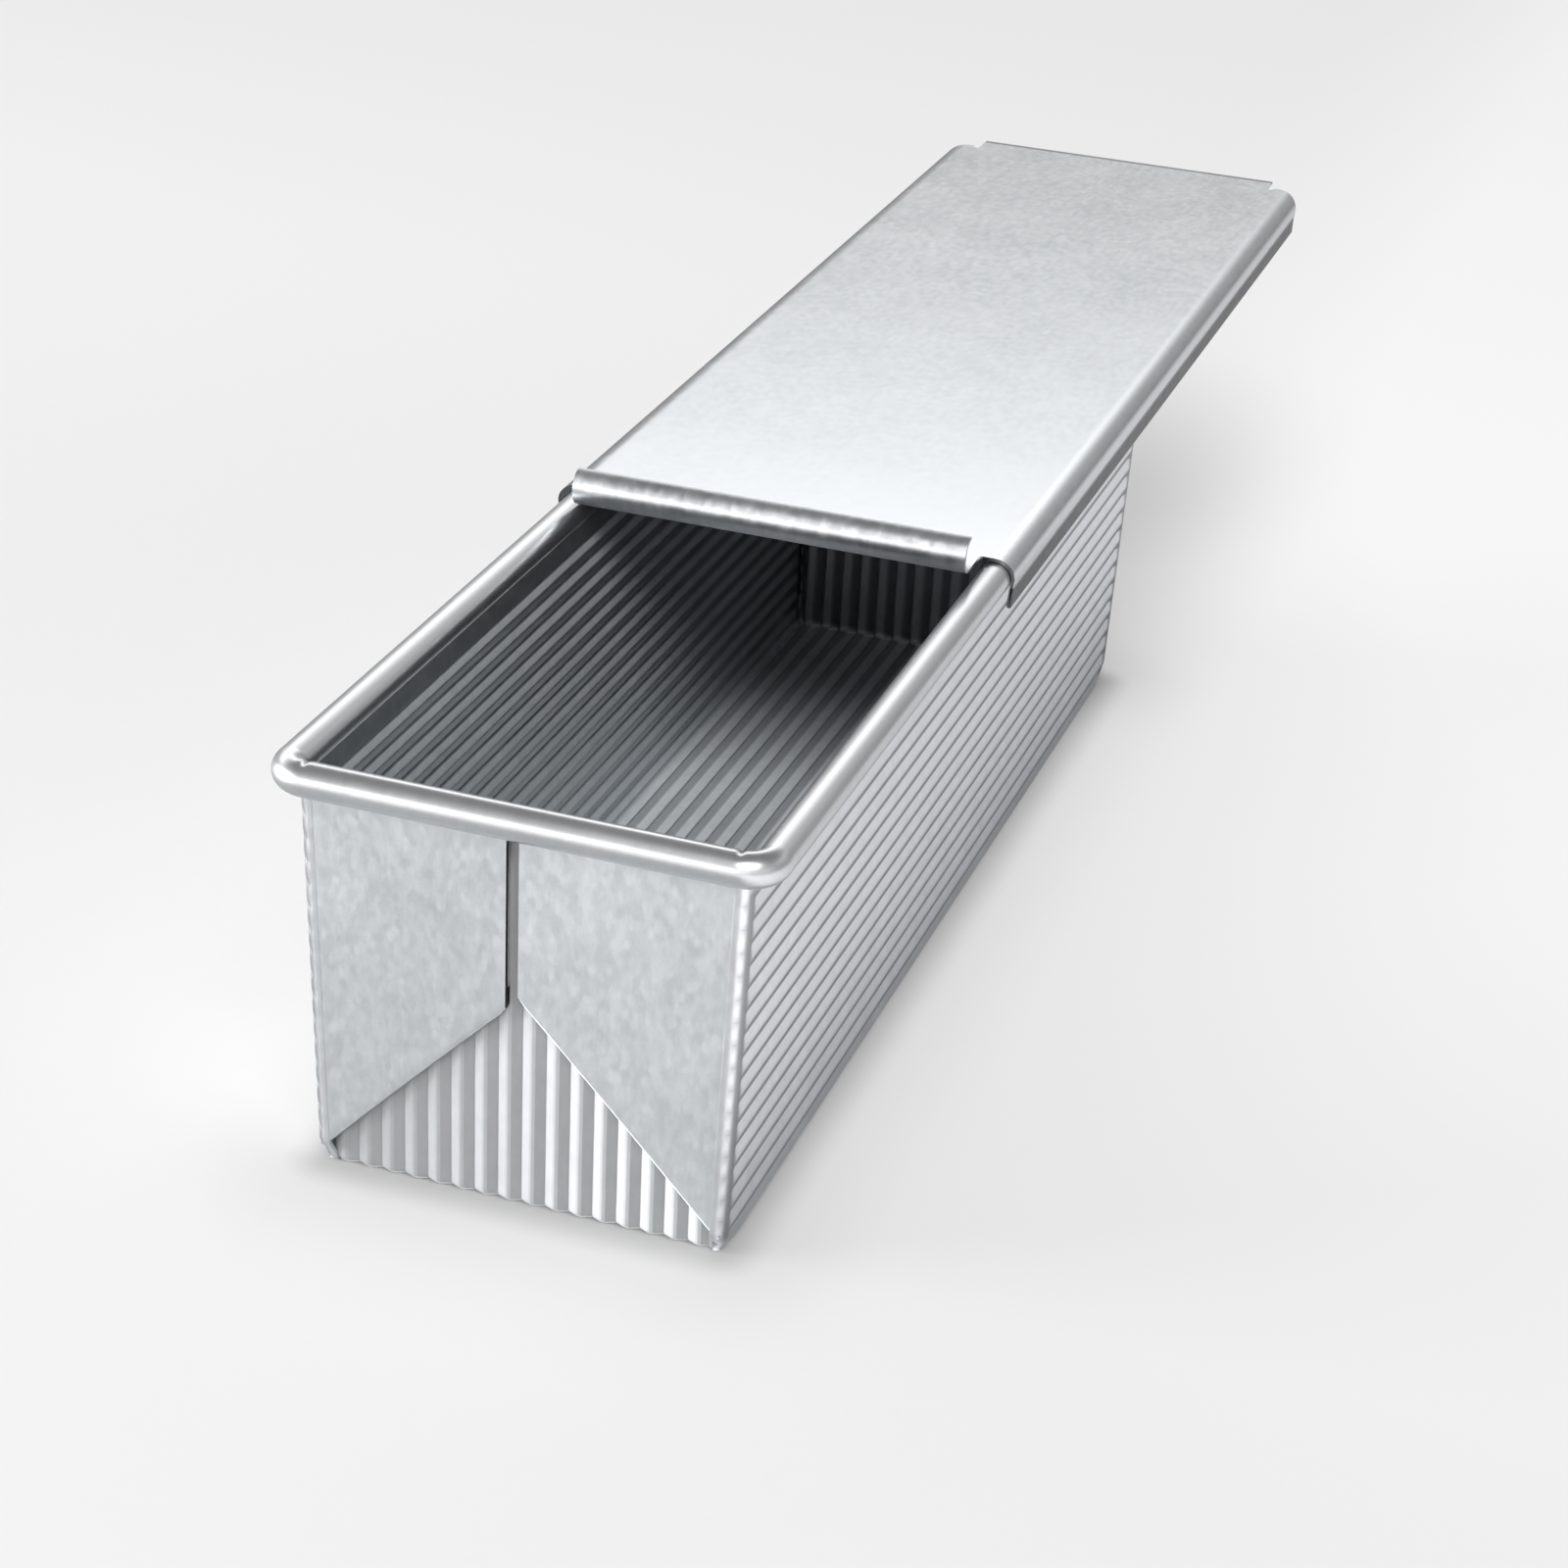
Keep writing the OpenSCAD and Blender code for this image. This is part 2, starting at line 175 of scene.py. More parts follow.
# Faces whose painted highlight is past the first of these are made less of a mirror, by the share
HIGHLIGHT_FROM, HIGHLIGHT_TO, HIGHLIGHT_METAL = 1.32, 1.6, 0.55


def coated_steel(name, dark, light, roughness, mottle=0.5, grain=0.06, metal=1.0, toned=False, change=None):
    """Satin aluminium-coated steel: soft clouds, finer spangle, rolling streaks along Y and specks of dust.

    toned scales the colour by each point's painted shade and highlight, from its attribute. change is a function
    that redraws the colour and the metal share by place.
    """
    material, shader, where = new_tree(name)
    cloud = where.noise(CLOUD * MM, 3) - 0.5
    spangle = where.stretched(1, 0.7, 0.55).spangle(SPANGLE * MM)
    streak = where.stretched(1, 0.06, 0.35).noise(STREAK * MM, 2)
    speck = where.stretched(1, 1, 0.6).noise(SPECK * MM, 2, 0.7)
    tone = (0.5 + cloud * CLOUD_TONE + (spangle - 0.5) * mottle
            + (streak - 0.5) * STREAK_TONE + (speck - 0.5) * SPECK_TONE)
    colour = tone.tinted(dark, light)
    if toned:
        # Painted shade and highlights from the points' shade attribute scale the colour
        shade = where.node("ShaderNodeAttribute", out="Fac", attribute_name="shade")
        colour = colour.scaled(shade)
        metal = shade.ramp(HIGHLIGHT_FROM, HIGHLIGHT_TO, metal, metal * HIGHLIGHT_METAL)
    if change:
        colour, metal = change(where, colour, metal)
    uneven = (spangle - 0.5) * SPANGLE_ROUGH + cloud * CLOUD_ROUGH + (streak - 0.5) * STREAK_ROUGH
    height = speck * 0.5 + streak * 0.5 + spangle * 0.6
    bump = where.node("ShaderNodeBump", {"Strength": grain, "Distance": GRAIN_HEIGHT * MM, "Height": height})
    links = where.tree.links
    links.new(colour.plug, shader.inputs["Base Color"])
    links.new((roughness + uneven * mottle).plug, shader.inputs["Roughness"])
    links.new(bump.plug, shader.inputs["Normal"])
    if isinstance(metal, Socket):
        links.new(metal.plug, shader.inputs["Metallic"])
    else:
        shader.inputs["Metallic"].default_value = metal
    return material


def lit_floor(where, colour, metal):
    """Inside of the pan: the floor scatters light, and the walls above it are mirrors painted darker than the
    floor as shade.
    """
    floor_tone, painted_wall_shade = 0.92, 0.65
    above_floor = where.axes()[2].ramp(1.5 * MM, 3.4 * MM)
    return colour.scaled(floor_tone - above_floor * (floor_tone - painted_wall_shade)), above_floor * metal


def slit_shadow(where, colour, metal):
    """The cut edge of the left ears along the slit, painted nearly black as shadow from the ears' two layers."""
    cut_x = LEFT_EAR_START + 0.05
    cut = abs(where.axes()[0] + cut_x * MM).ramp(0.13 * MM, 0.21 * MM, 1.0, 0.0)
    return colour.scaled(1.0 - cut * 0.97), metal


def lid_cut(where, colour, metal):
    """The lid's colour is darker along its rear edge and at the front cut edges of its channels."""
    across, along, _ = where.axes()
    rear_edge, front_cut, channel_x = LID_Y + TAB_REAR, LID_Y - CHANNEL_END, CURL_X + 0.55
    rear = along.ramp((rear_edge - 2.5) * MM, (rear_edge - 1.5) * MM)
    front = along.ramp((front_cut + 0.1) * MM, (front_cut + 0.4) * MM, 1.0, 0.0)
    channel = abs(across - LID_X * MM).ramp((channel_x - 0.2) * MM, (channel_x + 0.2) * MM)
    return colour.scaled(1.0 - rear * 0.55 - front * channel * 0.8), metal


def lid_underside(where, colour, metal):
    """Underside of the lid: painted dark as shade over the pan, and painted darker as shade on the curl's lower
    half.
    """
    curl_z = ARCH_Z + ARCH_RISE + CURL_R
    _, along, height = where.axes()
    covered = along.ramp(-6 * MM, 1.5 * MM)
    lower_half = height.band(*[(curl_z + offset) * MM for offset in (-4.6, -3.2, -0.2, 1.2)])
    return colour.scaled((1.0 - covered * 0.85) * (1.0 - lower_half * 0.34)), metal


EAR_DARK, EAR_LIGHT = (0.60, 0.63, 0.645), (0.74, 0.765, 0.775)
PAN_STEEL = coated_steel("pan_steel", EAR_DARK, EAR_LIGHT, 0.44, metal=0.93)
EAR_STEEL = coated_steel("ear_steel", EAR_DARK, EAR_LIGHT, 0.44, metal=0.93, toned=True, change=slit_shadow)
WALL_STEEL = coated_steel("wall_steel", (0.64, 0.655, 0.68), (0.74, 0.755, 0.775), 0.40, metal=0.88, toned=True)
TROUGH_STEEL = coated_steel("trough_steel", (0.70, 0.72, 0.735), (0.78, 0.795, 0.81), 0.42, metal=0.45, toned=True)
INSIDE_STEEL = coated_steel("inside_steel", (0.605, 0.64, 0.67), (0.745, 0.775, 0.80), 0.36,
                            metal=0.93, toned=True, change=lit_floor)
ROLL_STEEL = coated_steel("roll_steel", (0.66, 0.68, 0.69), (0.78, 0.795, 0.80), 0.29,
                          mottle=0.12, grain=0.01, metal=0.97)
LID_STEEL = coated_steel("lid_steel", (0.67, 0.695, 0.715), (0.76, 0.78, 0.795), 0.24,
                         mottle=0.34, grain=0.012, change=lid_cut)
CURL_STEEL = coated_steel("curl_steel", (0.56, 0.585, 0.60), (0.78, 0.80, 0.815), 0.36,
                          mottle=0.5, grain=0.02, change=lid_underside)
WIRE_STEEL = coated_steel("wire_steel", (0.40, 0.41, 0.42), (0.55, 0.56, 0.57), 0.45)


def finish_with(obj, material):
    """Gives the whole object one material."""
    obj.data.materials.clear()
    obj.data.materials.append(material)


BODIES = frame["record"]["behaviour"]["bodies"]
for name in BODIES["pan"]:
    finish_with(frame["nodes"][name],
                WIRE_STEEL if name == "rim_wire" else ROLL_STEEL if "rim_roll" in name else PAN_STEEL)
for name in BODIES["lid"]:
    finish_with(frame["nodes"][name], LID_STEEL)


# Shapes

def ease(value, low, high):
    """Smoothstep: 3 t^2 - 2 t^3 with t = (value - low) / (high - low), held between 0 and 1."""
    share = np.clip((value - low) / (high - low), 0, 1)
    return share * share * (3 - 2 * share)


def hump(value, low, full, fading, high):
    """Eases from 0 to 1 between low and full, and back to 0 between fading and high."""
    return ease(value, low, full) * (1 - ease(value, fading, high))


def bell(distance, width):
    """exp(-(distance / width)^2)."""
    return np.exp(-((distance / width) ** 2))


def rib_depth(place):
    """Depth of the ribs as a share of their relief, at a place counted in pitches from a valley."""
    return np.interp(np.mod(place, 1), RIB_PLACES, RIB_DEPTHS)


def rib_stations(first, last):
    """Places in pitches with a close pair at each fold line, so that the facets between shade flat."""
    pair, margin = 0.012, 0.02
    folds = [whole + fold for whole in range(math.floor(first), math.ceil(last)) for fold in RIB_PLACES[:-1]]
    near = np.array([fold + side for fold in folds for side in (-pair, pair)])
    inside = near[(near > first + margin) & (near < last - margin)]
    return np.concatenate([[first], np.sort(inside), [last]])


def facet_shading(place, tones):
    """The painted shading of the rib facet that holds each place, from one value for each facet of a rib."""
    facet = np.searchsorted(RIB_PLACES, np.mod(place, 1), side="right") - 1
    return np.array(tones)[facet]


def grid_faces(rows, columns, looped=False):
    """Quads of a grid whose points run row by row. Where looped, the last lines join the first ones."""
    index = np.arange(rows * columns).reshape(rows, columns)
    if looped:
        index = np.concatenate([index, index[:1]])
        index = np.concatenate([index, index[:, :1]], 1)
    return np.stack([index[:-1, :-1], index[:-1, 1:], index[1:, 1:], index[1:, :-1]], -1).reshape(-1, 4)


def piece(name, body, places, faces, material, nodes, thick=0.0, shade=None, inside=None):
    """Object from places in millimetres and quads, without the places that no quad uses.

    thick adds a Solidify inwards, or outwards where negative, and inside is the material of its new side.
    nodes are what the piece stands for, and shade scales each point's colour, painted shade below 1 and painted
    highlight above 1.
    """
    mesh = bpy.data.meshes.new(name)
    used, faces = np.unique(faces, return_inverse=True)
    mesh.from_pydata((places[used] * MM).tolist(), [], faces.reshape(-1, 4).tolist())
    mesh.shade_smooth()
    if shade is not None:
        tones = shade.ravel()[used].astype(np.float32)
        mesh.attributes.new("shade", "FLOAT", "POINT").data.foreach_set("value", tones)
    obj = bpy.data.objects.new(name, mesh)
    bpy.context.scene.collection.objects.link(obj)
    if thick:
        solid = obj.modifiers.new("sheet", "SOLIDIFY")
        solid.thickness, solid.offset, solid.use_rim = abs(thick) * MM, -math.copysign(1, thick), True
        solid.material_offset = 1 if inside else 0
        edge = obj.modifiers.new("cut_edge", "BEVEL")
        edge.width, edge.segments, edge.limit_method = 0.1 * MM, 2, "ANGLE"
        edge.angle_limit, edge.harden_normals = math.radians(50), True
    finish_with(obj, material)
    if inside:
        obj.data.materials.append(inside)
    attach(obj, body)
    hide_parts(*nodes)


# Corners of the long walls: how far a wall runs on past its bend, how far it stands off the ear, and
# how far the foot of the corner is drawn back, in and up
RUN_ON, SKIN, FOOT_BACK, FOOT_IN, FOOT_UP = 0.9, 0.05, 2.1, 0.7, 0.25
# The ribs' count up the wall, the plain top above them, where they start and end by a corner, and dents there
WHOLE_RIBS, RIGHT_TOP_RIB, LEFT_TOP_RIB, PLAIN_TOP = 15, 0.40, 0.62, [90.5, 95.0]
RIB_TIP, RIB_FULL, RIGHT_DENT, LEFT_DENT, DENT_WIDTH = 0.2, 3.4, 0.03, 0.16, 0.16
NO_VALLEY = 9.0


def long_wall(side):
    """One long wall with its bottom bend and both upright corner bends, by heights and by stations round the pan.

    Place = axis + (n cos p, sin p) (bend_r + skin - depth), where n is the plan direction of the
    station, p the angle of the bottom bend (0 on the wall) and the axis leans out with height.
    Ribs end in points before each corner: depth = relief max(0, rib - fade). On the corner
    itself each valley leaves a small dent. The foot of the corner eases from the ears' plane to
    the end wall's, and a little in and up.
    """
    right = side > 0
    # Each station: end of the pan, plan direction, setback from the corner and run on past the bend
    setbacks = [24, 10, 6, 4.4, 3.6, 3, 2.5, 2, 1.5, 1, 0.5, 0]
    turns = np.radians(np.linspace(0, 90, 11))[1:]
    half = [(0.0, setback, 0.0) for setback in setbacks] + [(turn, 0.0, 0.0) for turn in turns]
    half.append((turns[-1], 0.0, RUN_ON))
    stations = [(-1,) + station for station in half[::-1]] + [(1,) + station for station in half]
    end, turn, setback, past = [np.array(values)[None, :] for values in zip(*stations)]
    on_wall = turn < 0.01

    # Each row: angle of the bottom bend, height above it, depth of the rib and distance from a valley
    pitches = rib_stations(-0.001, WHOLE_RIBS + (RIGHT_TOP_RIB if right else LEFT_TOP_RIB))
    heights = np.concatenate([[0.0], FIRST_RIB - BEND_R + pitches * PITCH, PLAIN_TOP])
    shares = np.concatenate([[0.0], rib_depth(pitches if right else -pitches), [0.0, 0.0]])
    valleys = np.abs(np.mod(pitches + 0.5, 1) - 0.5)
    valleys = np.concatenate([[NO_VALLEY], valleys, [NO_VALLEY, NO_VALLEY]])
    falls = np.radians(np.linspace(-88, -8, 9))
    fall = np.concatenate([falls, 0 * heights])[:, None]
    height = np.concatenate([0 * falls, heights])[:, None]
    share = np.concatenate([0 * falls, shares])[:, None]
    valley = np.concatenate([0 * falls + NO_VALLEY, valleys])[:, None]

    fade = 1 - ease(setback, RIB_TIP, RIB_FULL)
    on_corner = hump(turn, 0.02, 0.5, 1.25, 1.55) + 0.35 * (turn < 0.02) * (1 - ease(setback, 0, 1.5))
    dent = (RIGHT_DENT if right else LEFT_DENT) * on_corner * bell(valley, DENT_WIDTH)
    depth = RELIEF * np.maximum(0, share - fade) * on_wall + dent
    reach = BEND_R + SKIN * np.cos(fall) - depth
    above = BEND_R + height + reach * np.sin(fall)
    near_end = 1 - ease(setback, 0, 9)
    pinch = (1 - ease(above, 0, 7.5)) * near_end
    drawn_back = FOOT_BACK * (1 - ease(above, 2, 7)) * near_end
    across = SIDE_BEND_X + height * SIDE_LEAN + reach * np.cos(turn) * np.cos(fall) - past - FOOT_IN * pinch
    lean = height * END_LEAN * (setback < 20)
    along = end * (EAR_BEND_Y - drawn_back - setback + lean + reach * np.sin(turn) * np.cos(fall))
    up = above + FOOT_UP * pinch
    places = np.stack([side * across + 0 * up, along + 0 * up, up], -1).reshape(-1, 3)
    faces = grid_faces(*up.shape)

    # Painted shading of the rib facets, fading out where the ribs end: the right wall's as seen outside, the left
    # wall's as seen inside
    ribs = facet_shading(pitches, SIDE_SHADING) if right else facet_shading(-pitches - 1e-9, INNER_SHADING)
    ribs = np.concatenate([0 * falls + 1, [1.0], ribs, [1.0, 1.0]])[:, None]
    shade = 1 + (ribs - 1) * (1 - fade) * on_wall
    # Painted highlight on the right corners' strips, painted shade at their nicks and lee sides, and painted shade
    # on the left corners
    if right:
        beside_ribs = valley < 2
        strip = hump(turn, 0.65, 0.95, 1.3, 1.5)
        nick = bell(valley, 0.07) * bell(turn - 0.95, 0.25) * beside_ribs
        lee = (1 - ease(turn, 0.45, 0.75)) * (1 - ease(setback, 0.8, 2.6)) * beside_ribs
        shade = shade + (STRIP_HIGHLIGHT * strip - NICK_SHADE * nick - LEE_SHADE * lee)
    else:
        shade = shade - LEFT_CORNER_SHADE * ease(turn, 0.0, 0.3) * (1 - 0.88 * ease(turn, 1.0, 1.4))
    name = "right" if right else "left"
    piece(name + "_wall", "pan", places, faces if right else faces[:, ::-1], WALL_STEEL,
          (name + "_side_panel", name + "_bottom_bend"), SHEET, shade, INSIDE_STEEL)


TROUGH_REACH, TROUGH_RISE, TROUGH_UP = 52.0, 95.2, 0.06


def ribbed_trough():
    """Floor and both end walls as one ribbed sheet, by stations along its length and across it.

    Place = (x, y_axis + (bend_r - depth) sin q, bend_r - (bend_r - depth) cos q), with q the turn round
    the end's bend, and the end walls lean out.
    """
    pitches = rib_stations(-TROUGH_REACH / PITCH, TROUGH_REACH / PITCH)
    across = (pitches * PITCH)[None, :]
    depth = RELIEF * rib_depth(pitches)[None, :]
    lean = math.atan(END_LEAN)
    upright = math.pi / 2 - lean
    half = [(turn, 0.0) for turn in np.linspace(0, upright, 10)]
    half += [(upright, rise) for rise in (30.0, 60.0, TROUGH_RISE)]
    stations = [(-1,) + station for station in half[::-1]] + [(1,) + station for station in half]
    end, turn, rise = [np.array(values)[:, None] for values in zip(*stations)]
    out = BEND_R - depth
    along = end * (END_BEND_Y + out * np.sin(turn) + rise * math.sin(lean))
    up = BEND_R + TROUGH_UP - out * np.cos(turn) + rise * math.cos(lean)
    edge = SIDE_BEND_X - 0.25 * ease(turn, 0, 1) + np.maximum(up - BEND_R, 0) * SIDE_LEAN
    places = np.stack([np.clip(across + 0 * up, -edge, edge), along, up], -1).reshape(-1, 3)
    faces = grid_faces(*up.shape)
    # Quads that the clip has made thinner than this are dropped
    wide = np.ptp(places[faces][:, :, 0], 1) > 0.06
    # The painted highlights and shade on the ribs of the ends have less contrast towards the left
    end_base = 0.42
    contrast = 0.18 + 0.82 * ease(across, -50, 36)
    end_rib_shading = end_base + (facet_shading(pitches, END_SHADING)[None, :] - end_base) * contrast
    # Painted shading of the rib facets: the ends' values on the end walls and the floor's on the floor
    on_end = ease(turn, 0.6, 1.2)
    shade = end_rib_shading * on_end + facet_shading(pitches, FLOOR_SHADING)[None, :] * (1 - on_end)
    nodes = ("floor_panel", "front_bottom_bend", "rear_bottom_bend", "front_end_panel", "rear_end_panel")
    piece("ribbed_trough", "pan", places, faces[wide][:, ::-1], TROUGH_STEEL, nodes,
          SHEET, shade, INSIDE_STEEL)


EAR_ROUND = 1.5
OUTER_SHARES = [0, 0.25, 0.5, 0.75, 0.9, 0.97]
INNER_RISES = [1.5, 4.0]


def folded_ear(end, side):
    """One corner ear: its outer layer, the fold along the slanted edge and the start of the inner layer.

    Columns run down the ear from the slit to a little way round the corner. Below the outer layer the fold
    is half a ring: place = axis + r (n sin a + out cos a), where n points down and inwards, square to the edge.
    """
    start = RIGHT_EAR_START if side > 0 else LEFT_EAR_START
    steepness = math.hypot(1, EAR_SLOPE)
    share = np.linspace(0, 1, 25)[None, :]
    base = start + share * (SIDE_BEND_X + EAR_ROUND - start)
    around = BEND_R - np.sqrt(BEND_R ** 2 - np.maximum(0, base - SIDE_BEND_X) ** 2)
    axis_z = EAR_PEAK - EAR_SLOPE * base + steepness * FOLD_R

    ring = np.radians(np.linspace(0, 180, 13))[:, None]
    outer_z = EAR_TOP + np.array(OUTER_SHARES)[:, None] * (axis_z - EAR_TOP)
    outer_x = base + share * np.maximum(outer_z - BEND_R, 0) * SIDE_LEAN
    axis_x = base + share * np.maximum(axis_z - BEND_R, 0) * SIDE_LEAN
    ring_x = axis_x - FOLD_R * np.sin(ring) * EAR_SLOPE / steepness
    ring_z = axis_z - FOLD_R * np.sin(ring) / steepness
    inner_z = axis_z + np.array(INNER_RISES)[:, None]
    x = np.maximum(np.concatenate([outer_x, ring_x, ring_x[-1:], ring_x[-1:]]), start)
    z = np.concatenate([outer_z, ring_z, inner_z])
    # How far round the fold each row is
    bent = np.concatenate([0 * outer_z[:, :1], ring, 0 * inner_z[:, :1] + math.pi])
    depth = FOLD_R * (1 - np.cos(bent))
    y = end * (EAR_BEND_Y + BEND_R + (z - BEND_R) * END_LEAN - depth - around)
    places = np.stack([side * x, y + 0 * x, z], -1).reshape(-1, 3)
    faces = grid_faces(*x.shape)
    # Painted light: the right ears are painted a little lighter all over and their folds get a bright painted
    # highlight, and the left ears' folds a faint painted highlight, then painted shade where they turn in
    if side > 0:
        shade = 1.08 + 0.9 * ease(bent, 0.3, 0.6)
    else:
        shade = 1.0 + 0.2 * ease(bent, 0.05, 0.4) - 0.9 * ease(bent, 0.8, 1.15)
    name = ("rear" if end > 0 else "front") + ("_right" if side > 0 else "_left")
    piece(name + "_folded_ear", "pan", places, faces if side * end > 0 else faces[:, ::-1], EAR_STEEL,
          (name + "_ear",), SHEET, shade + 0 * x)


SEAM, SEAM_GAP = math.radians(226), 0.1
# Crease of a rim corner: its share of the roll, width, distance from the bend's end and side of the roll
CREASE, CREASE_WIDTH, CREASE_BACK, CREASE_SIDE = 0.13, 0.75, 0.4, math.radians(150)


def rim_roll():
    """Roll round the rim: a C section with its seam low on the inner side, swept round a rounded rectangle.

    Place = path + r (n cos a + z sin a). Where a long roll meets an end roll the outer radius is
    pinched: r = roll_r (1 - crease w(a) exp(-(s / crease_width)^2)), with s the distance from the crease.
    """
    turns = np.radians(np.linspace(0, 90, 25))
    centre_x, centre_y = RIM_X - CORNER_R, RIM_Y - CORNER_R
    bend = np.stack([centre_x + CORNER_R * np.cos(turns), centre_y + CORNER_R * np.sin(turns)], -1)
    near = np.array([0.3, 0.6, 0.9, 1.2, 1.6, 2.1, 2.8, 4, 8, 20])
    before = np.stack([np.full(near.size, RIM_X), centre_y - near[::-1]], -1)
    after = np.stack([centre_x - near, np.full(near.size, RIM_Y)], -1)
    corner = np.concatenate([before, bend, after])
    heading = np.concatenate([0 * near, turns, 0 * near + math.pi / 2])
    distance = np.concatenate([-near[::-1], turns * CORNER_R, near + CORNER_R * math.pi / 2])
    from_crease = distance - (CORNER_R * math.pi / 2 - CREASE_BACK)
    path, angle, gap = [], [], []
    for sx, sy in ((1, 1), (-1, 1), (-1, -1), (1, -1)):
        step = 1 if sx * sy > 0 else -1
        path.append((corner * (sx, sy))[::step])
        angle.append(np.arctan2(sy * np.sin(heading), sx * np.cos(heading))[::step])
        gap.append(from_crease[::step])
    path, angle, gap = np.concatenate(path), np.concatenate(angle), np.concatenate(gap)[:, None]
    # Angles round the section, from one lip of the seam round the outside to the other
    outer = np.linspace(SEAM + SEAM_GAP - 2 * math.pi, SEAM - SEAM_GAP, 49)
    weight = ease(np.cos(outer - CREASE_SIDE), -0.2, 0.8)[None, :]
    pinch = 1 - CREASE * weight * bell(gap, CREASE_WIDTH)
    radius = np.concatenate([ROLL_R * pinch, np.full(pinch.shape, ROLL_R - SHEET)], 1)
    section = np.concatenate([outer, outer[::-1]])[None, :]
    out = radius * np.cos(section)
    places = np.stack([path[:, :1] + np.cos(angle)[:, None] * out, path[:, 1:] + np.sin(angle)[:, None] * out,
                       RIM_Z + radius * np.sin(section)], -1).reshape(-1, 3)
    piece("rim_roll", "pan", places, grid_faces(*radius.shape, looped=True), ROLL_STEEL,
          ("left_rim_roll", "right_rim_roll", "front_rim_roll", "rear_rim_roll"))


def lid_section():
    """Half of the lid's section, as (x from its middle, height above the rim's axis) from the middle out.

    Flat to the rim's axis, a quarter ellipse (arch_in cos a, arch_rise sin a) over the roll, a leaning
    flange, and a hem turned out and up: (hem_wide cos a, hem_deep sin a) below its axis.
    """
    cut = 0.01
    flat_x = np.concatenate([[0, 16, 32, 44, TAB_X - cut, TAB_X + cut], np.linspace(49.9, RIM_X, 8)])
    flat = np.stack([flat_x, np.full(flat_x.size, ARCH_RISE)], -1)
    turns = np.linspace(math.pi / 2, 0, 20)[1:]
    arch = np.stack([RIM_X + ARCH_IN * np.cos(turns), ARCH_RISE * np.sin(turns)], -1)
    turns = np.linspace(math.pi, 2 * math.pi, 9)
    hem = np.stack([RIM_X + HEM_OUT + HEM_WIDE * np.cos(turns), HEM_UP + HEM_DEEP * np.sin(turns)], -1)
    flange, lip = [np.array(points) + (RIM_X, 0) for points in (FLANGE, LIP)]
    return np.concatenate([flat, arch, flange, hem, lip])


def lid_sheet():
    """The lid as one folded sheet: rows along it by columns across, drawn on the sheet's underside.

    Along, the curl is half a ring: y = front + r cos a, z = r (1 + sin a). The channels' rear corners
    are quarter circles: y = end - corner + sqrt(corner^2 - (x - start)^2).
    """
    half = lid_section()
    section = np.concatenate([half[:0:-1] * (-1, 1), half])
    across, rise = section[:, 0][None, :], section[:, 1][None, :]
    curl = np.linspace(math.pi / 2, 3 * math.pi / 2, 19)
    # Rows: the curl, the front tab, the channels' length, their rear ends and the rear tab
    rows = np.array([-179.0, -173.21, -173.2, -172.8, -120, -60, 0, 60, 120, 160,
                     CHANNEL_END, CHANNEL_END, TAB_REAR])
    along = np.concatenate([TAB_FRONT + CURL_R * np.cos(curl), rows])[:, None] + 0 * across
    up = np.concatenate([CURL_R + CURL_R * np.sin(curl), 0 * rows])[:, None] + rise
    first, last = curl.size + 1, curl.size + rows.size - 3
    away = np.abs(across)
    beyond = np.clip(away - (RIM_X + LIP_X - LID_CORNER), 0, LID_CORNER - 0.3)
    rounded = CHANNEL_END - LID_CORNER + np.sqrt(LID_CORNER ** 2 - beyond ** 2)
    channel_rear = np.where(beyond > 0, rounded, CHANNEL_END - NOTCH)
    along[last] = np.where(away > TAB_X, channel_rear, CHANNEL_END)
    faces = grid_faces(*along.shape)
    # The front has only the curl's width, and the rear only the tab's
    row, column = np.divmod(faces[:, 0], across.size)
    width = np.maximum(np.abs(section[column, 0]), np.abs(section[column + 1, 0]))
    keep = np.where(row <= first, width <= CURL_X, (row < last) | (width <= TAB_X))
    places = np.stack([LID_X + across + 0 * along, LID_Y + along, ARCH_Z + up], -1).reshape(-1, 3)
    piece("lid_sheet", "lid", places, faces[keep], LID_STEEL,
          ("lid_plate", "lid_left_channel", "lid_right_channel", "lid_front_curl"), -SHEET, None, CURL_STEEL)


lid_sheet()
long_wall(1)
long_wall(-1)
ribbed_trough()
rim_roll()
for end in (-1, 1):
    for side in (-1, 1):
        folded_ear(end, side)


# Table, in metres

TABLE_R, FOOT_X, FOOT_Y = 3.2, 0.046, 0.163
# Bands of painted shadow on it, where each starts, is full, fades and ends
LID_SHADOW_X, LID_SHADOW_Y = (-0.09, -0.03, 0.015, 0.09), (0.12, 0.18, 0.30, 0.47)
FRONT_SHADOW_X, FRONT_SHADOW_Y = (-0.1, -0.04, 0.03, 0.09), (-0.225, -0.17, -0.17, -0.1)


def round_table(radius, rings, columns=96):
    """Disc of rings about the origin: point = r (cos a, sin a, 0)."""
    turns = np.linspace(0, 2 * np.pi, columns + 1)[:-1]
    steps = np.linspace(0, radius, rings + 1)[1:]
    around, out = np.meshgrid(turns, steps)
    places = np.stack([out * np.cos(around), out * np.sin(around), 0 * out], -1).reshape(-1, 3)
    index = np.arange(places.shape[0]).reshape(rings, columns)
    ahead = np.roll(index, -1, 1)
    quads = np.stack([index[:-1], index[1:], ahead[1:], ahead[:-1]], -1).reshape(-1, 4)
    mesh = bpy.data.meshes.new("table_top")
    mesh.from_pydata(places.tolist(), [], quads.tolist() + [index[0].tolist()])
    table = bpy.data.objects.new("table_top", mesh)
    bpy.context.scene.collection.objects.link(table)
    return table


